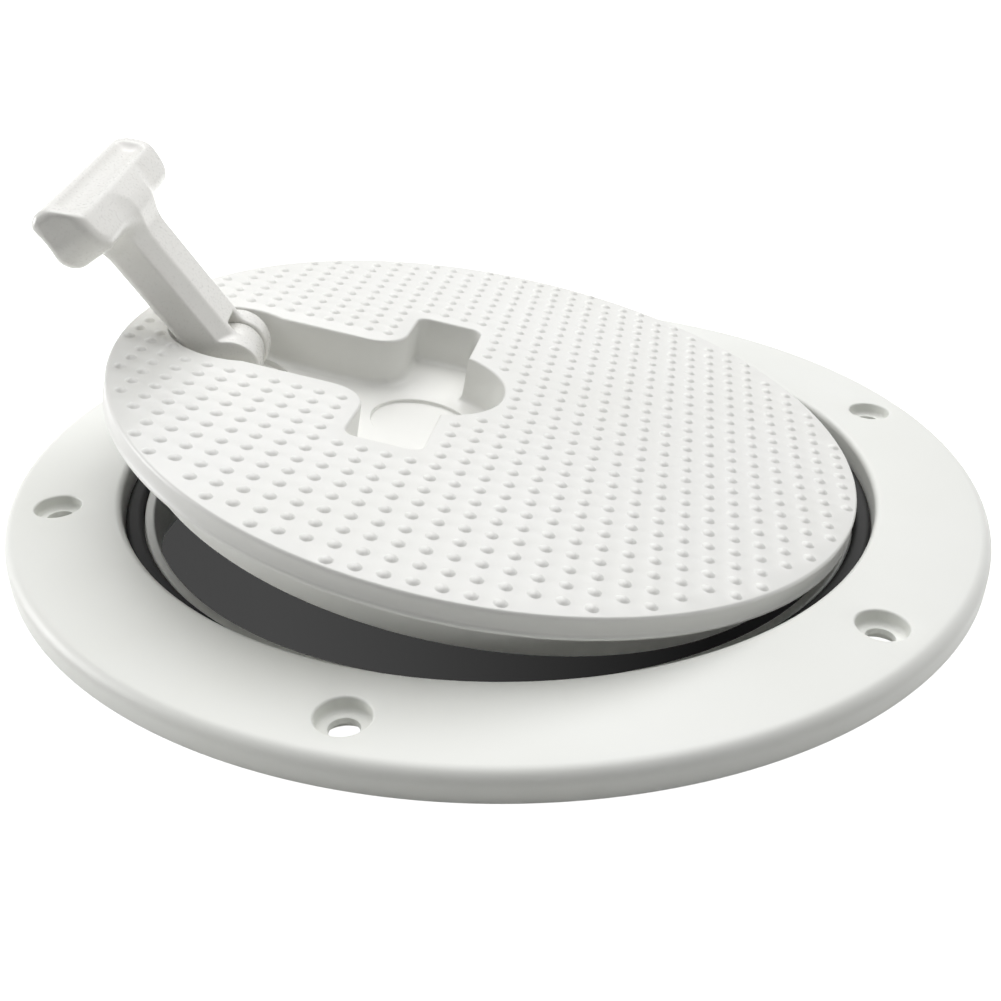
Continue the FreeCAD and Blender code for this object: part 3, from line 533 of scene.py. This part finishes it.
def make_lid():
    """Disc, skirt, pocket, ribs and heel tongue as one moulding, with its top at z 0."""
    edge = LID_EDGE_ROUND
    section = [(LID_RADIUS - edge + (edge - LID_BEAD) * math.sin(turn), -edge * (1 - math.cos(turn)))
               for turn in quarter(6)]
    section += [  # down the edge, over the bead at its foot, then the skirt and back under the plate
        (LID_RADIUS - LID_BEAD, -LID_EDGE_HEIGHT + 1.1),
        (LID_RADIUS - 0.1, -LID_EDGE_HEIGHT + 0.8),
        (LID_RADIUS, -LID_EDGE_HEIGHT + 0.6),
        (LID_RADIUS, -LID_EDGE_HEIGHT + 0.25),
        (LID_RADIUS - 0.08, -LID_EDGE_HEIGHT + 0.08),
        (LID_RADIUS - 0.25, -LID_EDGE_HEIGHT),
        (SKIRT_TOP, -LID_EDGE_HEIGHT),
        (SKIRT_END, -SKIRT_DEPTH + 0.3),
        (SKIRT_END - 0.3, -SKIRT_DEPTH),
        (SKIRT_END - SKIRT_WALL, -SKIRT_DEPTH),
        (SKIRT_TOP - SKIRT_WALL, -LID_PLATE),
    ]
    piece = solid("lid_moulding", stacked(disc_rings(section, ROUND_STEPS)))
    leg = SKIRT_END - SKIRT_WALL
    root = SKIRT_DEPTH - SKIRT_WALL
    foot = TONGUE_TOP + TONGUE_THICKNESS
    tongue = turned([(leg, -root), (SKIRT_END, -root), (SKIRT_END, -TONGUE_TOP), (TONGUE_TIP, -TONGUE_TOP),
                     (TONGUE_TIP, -foot), (leg, -foot)], 24, -TONGUE_HALF_ANGLE, 2 * TONGUE_HALF_ANGLE)
    reach = SKIRT_END - SKIRT_WALL / 2
    ribs = [block((-reach, -LID_RIB_WIDTH / 2, -LID_RIB_DEPTH), (reach, LID_RIB_WIDTH / 2, -LID_PLATE / 2),
                  180 * index / LID_RIBS) for index in range(LID_RIBS)]
    boss = stacked(disc_rings([(BOSS_RADIUS, -BOSS_DEPTH), (BOSS_RADIUS, -POCKET_DEPTH)], 96, -SPINDLE_OFFSET))
    join_or_cut(piece, [pocket_walls(), boss, tongue] + ribs, "UNION")

    label = stacked(disc_rings([(LABEL_RADIUS - 0.2, -POCKET_DEPTH - LABEL_DEPTH),
                                (LABEL_RADIUS, -POCKET_DEPTH - LABEL_DEPTH + 0.2),
                                (LABEL_RADIUS, -POCKET_DEPTH - LABEL_ROUND),
                                (LABEL_RADIUS + LABEL_ROUND, -POCKET_DEPTH),
                                (LABEL_RADIUS + LABEL_ROUND, -POCKET_DEPTH + 2)], 96, -SCOOP_OFFSET))
    seat = stacked(disc_rings([(SHAFT_HOLE, -BOSS_DEPTH - 1), (SHAFT_HOLE, -RING_SEAT_DEPTH),
                               (RING_SEAT_RADIUS, -RING_SEAT_DEPTH), (RING_SEAT_RADIUS, -WASHER_SEAT_DEPTH),
                               (WASHER_SEAT_RADIUS, -WASHER_SEAT_DEPTH), (WASHER_SEAT_RADIUS, -CAM_SEAT_DEPTH),
                               (CAM_SEAT_RADIUS, -CAM_SEAT_DEPTH), (CAM_SEAT_RADIUS, -POCKET_DEPTH + 2)],
                              96, -SPINDLE_OFFSET))
    join_or_cut(piece, [pocket_cavity(), label, seat], "DIFFERENCE")
    add_studs(piece)
    return piece


def in_pocket(x, y, margin):
    """True within a margin of the pocket's plan."""
    in_bar = abs(x + (BAR_SLOT_START + BAR_SLOT_BACK) / 2) <= (BAR_SLOT_BACK - BAR_SLOT_START) / 2 + margin
    in_bar = in_bar and abs(y) <= BAR_SLOT_HALF_LENGTH + margin
    in_stem = -SPINDLE_OFFSET <= x <= margin - BAR_SLOT_START and abs(y) <= STEM_SLOT_HALF_WIDTH + margin
    in_end = math.hypot(x + SPINDLE_OFFSET, y) <= POCKET_END_RADIUS + margin
    in_scoop = math.hypot(x + SCOOP_OFFSET, y) <= SCOOP_RADIUS + margin
    return in_bar or in_stem or in_end or in_scoop


def stud_spots():
    reach = int(STUD_FIELD / STUD_PITCH)
    lines = [index * STUD_PITCH for index in range(-reach, reach + 1)]
    return [(x, y) for x in lines for y in lines
            if math.hypot(x, y) <= STUD_FIELD and not in_pocket(x, y, STUD_CLEARANCE)]


def stud_section():
    """A stud's side: a small fillet at its foot, then a dome."""
    section = [(STUD_RADIUS + STUD_FOOT, 0), (STUD_RADIUS, 0.02)]
    for share in (0.92, 0.80, 0.62, 0.42, 0.20):
        section.append((STUD_RADIUS * share, STUD_HEIGHT * (1 - share ** 2.2)))
    return section


def add_studs(piece):
    """Re-face the lid's flat top round the studs, and raise the studs out of it in the same skin."""
    form = bmesh.new()
    form.from_mesh(piece.data)
    top = {face for face in form.faces if all(abs(vert.co.z) < 1e-5 for vert in face.verts)}
    inside = {edge for face in top for edge in face.edges}
    border = [edge for edge in inside if not top.issuperset(edge.link_faces)]
    bmesh.ops.delete(form, geom=list(top), context="FACES_KEEP_BOUNDARY")

    verts = []
    lookup = {}
    for edge in border:
        for vert in edge.verts:
            if vert not in lookup:
                lookup[vert] = len(verts)
                verts.append(vert)
    edges = [(lookup[edge.verts[0]], lookup[edge.verts[1]]) for edge in border]

    section = stud_section()
    turns = [math.tau * step / STUD_SIDES for step in range(STUD_SIDES)]
    spots = stud_spots()
    for x, y in spots:
        rings = add_rings(form, [[(x + r * math.cos(a), y + r * math.sin(a), z) for a in turns]
                                 for r, z in section])
        tip = form.verts.new((x, y, STUD_HEIGHT))
        for index in range(STUD_SIDES):
            form.faces.new((rings[-1][index], rings[-1][(index + 1) % STUD_SIDES], tip))
        first = len(verts)
        verts += rings[0]
        edges += [(first + index, first + (index + 1) % STUD_SIDES) for index in range(STUD_SIDES)]

    flat = [Vector((vert.co.x, vert.co.y)) for vert in verts]
    points, _, faces, origins, _, _ = geometry.delaunay_2d_cdt(flat, edges, [], 1, 1e-6)
    used = [origin[0] for origin in origins]
    for face in faces:
        x = sum(points[index].x for index in face) / len(face)
        y = sum(points[index].y for index in face) / len(face)
        column = round(x / STUD_PITCH) * STUD_PITCH
        line = round(y / STUD_PITCH) * STUD_PITCH
        corners = [verts[used[index]] for index in face]
        under_stud = all((corner.co.xy - Vector((column, line))).length < section[0][0] + 1e-4
                         for corner in corners)
        if under_stud or covers_pocket(x, y):
            continue
        form.faces.new(corners)
    bmesh.ops.recalc_face_normals(form, faces=form.faces)
    form.to_mesh(piece.data)
    form.free()


def covers_pocket(x, y):
    """True inside the pocket's mouth."""
    outline = pocket_outline(POCKET_MOUTH_ROUND)
    inside = False
    for (ax, ay), (bx, by) in zip(outline, outline[1:] + outline[:1]):
        if (ay > y) != (by > y) and x < ax + (y - ay) / (by - ay) * (bx - ax):
            inside = not inside
    return inside


def blend(first, second, soft):
    """The nearer of two distances, run together over a soft width, as moulded lobes run together."""
    share = np.clip(0.5 + 0.5 * (second - first) / soft, 0, 1)
    return second * (1 - share) + first * share - soft * share * (1 - share)


def carve(form, tool, soft):
    """Distance to a form with a tool's shape taken out of it, its edge softened."""
    return -blend(-form, tool, soft)


def lobe(x, y, z, spot, half_length, radius):
    """Distance to a round bar along Y with ball ends."""
    return np.sqrt((x - spot[0]) ** 2 + np.maximum(np.abs(y) - half_length, 0) ** 2 + (z - spot[1]) ** 2) - radius


def slab(x, y, z, low, high, radius):
    """Distance to a block with rounded edges."""
    outside = [np.abs(axis - (a + b) / 2) - (b - a) / 2 + radius for axis, a, b in zip((x, y, z), low, high)]
    beyond = np.sqrt(sum(np.maximum(side, 0) ** 2 for side in outside))
    return beyond + np.minimum(np.maximum(np.maximum(outside[0], outside[1]), outside[2]), 0) - radius


def corner_distance(out, side, radius):
    """Distance to a rounded corner, from the distances past its two sides."""
    past = np.maximum(out + radius, 0), np.maximum(side + radius, 0)
    return np.hypot(*past) + np.minimum(np.maximum(out, side) + radius, 0) - radius


def handle_distance(x, y, z):
    """Distance to the T handle's skin: X runs from the pin to the T bar, Z is up when it is stowed."""
    past_end = np.abs(y) - BAR_HALF_LENGTH
    plan = np.where(x > BAR_OFFSET, corner_distance(x - BAR_FAR, past_end, BAR_GRIP_CORNER),
                    corner_distance(BAR_NEAR - x, past_end, BAR_NECK_CORNER))
    top = z - HANDLE_TOP + np.maximum(x - BAR_OFFSET - 1, 0) * BAR_TOP_SLOPE
    bar = corner_distance(corner_distance(plan, top, BAR_TOP_ROUND), HANDLE_FLOOR - z, STEM_ROUND)
    trough = lobe(x, y, z, (BAR_OFFSET + 1.4, HANDLE_TOP + 3.5), 40, TROUGH_RADIUS)
    grip_face = (x - GRIP_RIDGE) * GRIP_SLOPE[0] + (z - HANDLE_FLOOR) * GRIP_SLOPE[1]
    groove = lobe(x, y, z, (BAR_FAR - 0.2, HANDLE_FLOOR + 0.2), GROOVE_HALF_LENGTH, GROOVE_RADIUS)
    bar = carve(bar, trough, 2.0)
    stem = slab(x, y, z, (-1.0, -STEM_HALF_WIDTH, STEM_FLOOR), (BAR_FAR - 8, STEM_HALF_WIDTH, HANDLE_TOP),
                STEM_ROUND)
    bevel = (np.abs(y) - STEM_PANEL_HALF_WIDTH) * STEM_BEVEL[0] + (z - STEM_FLOOR) * STEM_BEVEL[1]
    stem = carve(stem, -bevel, 0.4)
    foot = np.maximum(np.hypot(x, z) - FOOT_RADIUS, np.abs(y) - STEM_HALF_WIDTH)
    form = blend(blend(stem, foot, 1.0), bar, 5.0)
    form = carve(carve(form, -grip_face, 1.0), groove, 0.5)
    taper = (STEM_HALF_WIDTH - EAR_END_HALF_WIDTH) / (EAR_CREASE + FOOT_RADIUS + 1)
    past_flank = (np.abs(y) - STEM_HALF_WIDTH + taper * (EAR_CREASE - x)) / math.hypot(1, taper)
    flank = np.where(x < 20, past_flank, -9)
    form = carve(form, -flank, 0.4)
    form = carve(form, HANDLE_TOP - z, 0.8)
    ears = slab(x, y, z, (-20, -EAR_SLOT_HALF, -20), (EAR_SLOT_REACH, EAR_SLOT_HALF, 20), 0.3)
    form = carve(form, ears, 0.7)
    return carve(form, np.hypot(x, z) - PIN_HOLE, 0.3)


def skin(distance, low, high, step):
    """Smooth skin where a distance is nought: a corner in each crossed cell, a face on each crossed edge."""
    axes = [np.arange(a, b + step, step) for a, b in zip(low, high)]
    field = distance(*np.meshgrid(*axes, indexing="ij"))
    total = np.zeros([size - 1 for size in field.shape] + [3])
    hits = np.zeros([size - 1 for size in field.shape])
    faces = []
    for axis in range(3):
        lower = np.delete(field, -1, axis)
        upper = np.delete(field, 0, axis)
        spots = np.argwhere((lower < 0) != (upper < 0))
        below = lower[tuple(spots.T)]
        above = upper[tuple(spots.T)]
        places = spots + np.eye(3)[axis] * (below / (below - above))[:, None]
        one, two = np.eye(3, dtype=int)[[(axis + 1) % 3, (axis + 2) % 3]]
        cells = [spots - shift for shift in (0 * one, one, one + two, two)]
        for cell in cells:
            np.add.at(total, tuple(cell.T), places)
            np.add.at(hits, tuple(cell.T), 1)
        faces.append(np.stack([np.ravel_multi_index(cell.T, hits.shape) for cell in cells], axis=1))
    used = np.flatnonzero(hits)
    points = total.reshape(-1, 3)[used] / hits.ravel()[used][:, None] * step + low
    for _ in range(4):
        off = distance(*points.T)
        rise = np.stack([distance(*(points + shift).T) - off for shift in np.eye(3) * 0.01], axis=1) / 0.01
        points -= 0.8 * rise * (off / np.maximum((rise ** 2).sum(axis=1), 0.25))[:, None]
    number = np.full(hits.size, -1)
    number[used] = np.arange(len(used))
    form = bmesh.new()
    verts = [form.verts.new(point) for point in points]
    for quad in number[np.concatenate(faces)]:
        form.faces.new([verts[index] for index in quad])
    bmesh.ops.recalc_face_normals(form, faces=form.faces)
    return form


def make_handle():
    """T handle with a forked foot, its lobes, necks and finger groove run together as in the mould."""
    low = np.array([-FOOT_RADIUS - 1, -BAR_HALF_LENGTH - 1, -FOOT_RADIUS - 1])
    high = np.array([BAR_FAR + 1, BAR_HALF_LENGTH + 1, FOOT_RADIUS + 1])
    return solid("t_handle", skin(handle_distance, low, high, SKIN_STEP))


def handle_pose():
    """From the handle's own place, its pin along Y at the origin, to where it rests folded back."""
    fold = JOINTS["handle_fold"]
    turn = JOINTS["spindle_turn"]
    lid = lid_pose()
    yaw = Matrix.Rotation(math.radians(-turn["range_deg"][0]), 4, "Z")
    back = Matrix.Rotation(math.radians(-fold["range_deg"][1]), 4, "Y")
    drop = Matrix.Translation((0, 0, -PIN_DROP * MILLIMETRE))
    return lid @ Matrix.Translation((-SPINDLE_OFFSET * MILLIMETRE, 0, 0)) @ yaw @ drop @ back


def ease_node(name, material, width):
    """Small machined or moulded piece as the frame has it, with its corners broken."""
    node = frame["nodes"][name]
    weld = node.modifiers.new("weld", "WELD")
    weld.merge_threshold = 0.01 * MILLIMETRE
    bevel = node.modifiers.new("broken_corners", "BEVEL")
    bevel.width = width * MILLIMETRE
    bevel.segments = 3
    bevel.limit_method = "ANGLE"
    bevel.angle_limit = math.radians(50)
    node.data.materials.clear()
    node.data.materials.append(material)


def make_camera():
    """The photograph's view: close, a little left of square on to the hatch, looking down."""
    data = bpy.data.cameras.new("camera")
    data.sensor_width = 36.0
    data.lens = 40.287
    data.clip_start = 0.01
    camera = bpy.data.objects.new("camera", data)
    camera.location = (0.03615, -0.22089, 0.11616)
    camera.rotation_euler = [math.radians(angle) for angle in (61.332, -0.233, 9.310)]
    bpy.context.scene.collection.objects.link(camera)
    bpy.context.scene.camera = camera


def make_lamp(name, place, aim, size, power):
    data = bpy.data.lights.new(name, "AREA")
    data.shape = "DISK"
    data.size = size
    data.energy = power
    lamp = bpy.data.objects.new(name, data)
    lamp.location = place
    lamp.rotation_euler = (Vector(aim) - Vector(place)).to_track_quat("-Z", "Y").to_euler()
    bpy.context.scene.collection.objects.link(lamp)


def background_rays(tree):
    """Is this a ray that should meet the plain white background?"""
    ray = add_node(tree, "ShaderNodeLightPath")
    either = add_node(tree, "ShaderNodeMath", {"operation": "MAXIMUM"},
                      {0: ray.outputs["Is Camera Ray"], 1: ray.outputs["Is Glossy Ray"]})
    seen = add_node(tree, "ShaderNodeMath", {"operation": "MAXIMUM"},
                    {0: either.outputs[0], 1: ray.outputs["Is Transmission Ray"]})
    return seen.outputs[0]


def make_studio():
    """White deck with a round cut-out, painted shade and painted light in the space under it, and soft lamps
    above and at both sides.
    """
    scene = bpy.context.scene
    scene.view_settings.view_transform = "Standard"
    world = bpy.data.worlds.new("studio")
    scene.world = world
    world.use_nodes = True
    tree = world.node_tree
    tree.nodes.clear()
    dim = add_node(tree, "ShaderNodeBackground", links={"Color": linear("#ffffff"), "Strength": 0.04})
    white = add_node(tree, "ShaderNodeBackground", links={"Color": linear("#ffffff"), "Strength": 1.0})
    mix = add_node(tree, "ShaderNodeMixShader",
                   links={0: background_rays(tree), 1: dim.outputs[0], 2: white.outputs[0]})
    add_node(tree, "ShaderNodeOutputWorld", links={"Surface": mix.outputs[0]})

    make_lamp("overhead_box", (-0.04, 0.40, 0.95), (0, 0, 0), 1.4, 12.9)
    make_lamp("right_panel", (0.90, 0.10, 0.20), (0, 0, 0), 0.5, 0.8)
    make_lamp("left_panel", (-0.92, -0.06, 0.24), (0, 0, 0), 0.5, 3.9)

    deck = bmesh.new()
    outline = [(math.cos(math.tau * step / 128), math.sin(math.tau * step / 128)) for step in range(128)]
    cut_out = COLLAR_RADIUS + 0.3
    add_rings(deck, [[(r * c, r * s, -0.05) for c, s in outline] for r in (cut_out, 400, 6000)])
    bmesh.ops.recalc_face_normals(deck, faces=deck.faces)
    floor = solid("deck_panel", deck)
    space = stacked(disc_rings([(cut_out, -120), (cut_out, -0.05)], 128))
    open_end = [face for face in space.faces if all(vert.co.z > -1 for vert in face.verts)]
    bmesh.ops.delete(space, geom=open_end, context="FACES_ONLY")
    # Painted shade and painted light: a sheet under the deck's cut-out that stands in for the shaded space below.
    hold = solid("painted_shade_hold", space)
    for made, material in ((floor, deck_paint()), (hold, hold_painted_shade_and_light())):
        made.data.transform(Matrix.Scale(MILLIMETRE, 4))
        made.data.materials.append(material)


def deck_paint():
    """White studio table: white to the eye, with the object's faint shadow."""
    material, tree = bare_material("white_table")
    matt = add_node(tree, "ShaderNodeBsdfDiffuse", links={"Color": linear("#e2e2e0")})
    glow = add_node(tree, "ShaderNodeEmission", links={"Color": linear("#ffffff"), "Strength": 0.96})
    both = add_node(tree, "ShaderNodeAddShader", links={0: matt.outputs[0], 1: glow.outputs[0]})
    mix = add_node(tree, "ShaderNodeMixShader",
                   links={0: background_rays(tree), 1: matt.outputs[0], 2: both.outputs[0]})
    add_node(tree, "ShaderNodeOutputMaterial", links={"Surface": mix.outputs[0]})
    return material


def hold_painted_shade_and_light():
    """Painted shade and painted light for the space under the deck: a dark matt colour for its shade, and a glow
    that is a little lighter towards -X, standing in for the light that reaches in on that side.
    """
    material, tree = bare_material("painted_shade_and_light_space")
    # Painted shade: a dark matt colour where the space under the deck lies in shade.
    matt = add_node(tree, "ShaderNodeBsdfDiffuse", links={"Color": linear("#1c1c1c")})
    place = add_node(tree, "ShaderNodeSeparateXYZ",
                     links={0: add_node(tree, "ShaderNodeTexCoord").outputs["Object"]})
    # Painted light: an emission that fades from -X to +X stands in for light reaching one side of the space.
    painted_light_fade = add_node(tree, "ShaderNodeMapRange",
                    links={"Value": place.outputs["X"], "From Min": -0.075, "From Max": 0.055,
                           "To Min": 0.062, "To Max": 0.006})
    glow = add_node(tree, "ShaderNodeEmission", links={"Color": linear("#ffffff"), "Strength": painted_light_fade.outputs[0]})
    both = add_node(tree, "ShaderNodeAddShader", links={0: matt.outputs[0], 1: glow.outputs[0]})
    add_node(tree, "ShaderNodeOutputMaterial", links={"Surface": both.outputs[0]})
    return material


white_asa = moulded_plastic("white_asa_satin", "#f3f4f0", "#f0f1ec", 0.40, 0.5, 0.004)
lid_asa = moulded_plastic("white_asa_satin_lid", "#f4f4f1", "#f2f2ee", 0.34, 0.5, 0.004)
handle_acetal = moulded_plastic("white_acetal_polished", "#f4f3ef", "#f1f0eb", 0.30, 0.5, 0.003, 0.15)
black_nylon = moulded_plastic("black_glass_nylon", "#1b1b1c", "#151516", 0.5, 0.3, 0.008)
white_nylon = moulded_plastic("natural_nylon", "#e9e5da", "#e4e0d4", 0.4, 0.4, 0.005)
rubber = black_rubber()
steel = turned_steel()

finish_piece(make_frame(), white_asa, "frame_body", ["frame"])
finish_piece(make_seal(), rubber, "frame_body", ["lid_seal"])
finish_piece(make_lid(), lid_asa, "lid_body", ["lid"], lid_pose())
finish_piece(make_handle(), handle_acetal, "handle_body", ["handle"], handle_pose(), 60.0)
for node, material, width in (("latch_spindle", handle_acetal, 0.5), ("handle_pin", steel, 0.2),
                              ("thrust_washer", white_nylon, 0.15), ("spindle_o_ring", rubber, 0.1),
                              ("latch_arm", black_nylon, 0.4), ("arm_washer", steel, 0.1),
                              ("arm_screw", steel, 0.15)):
    ease_node(node, material, width)
make_camera()
make_studio()
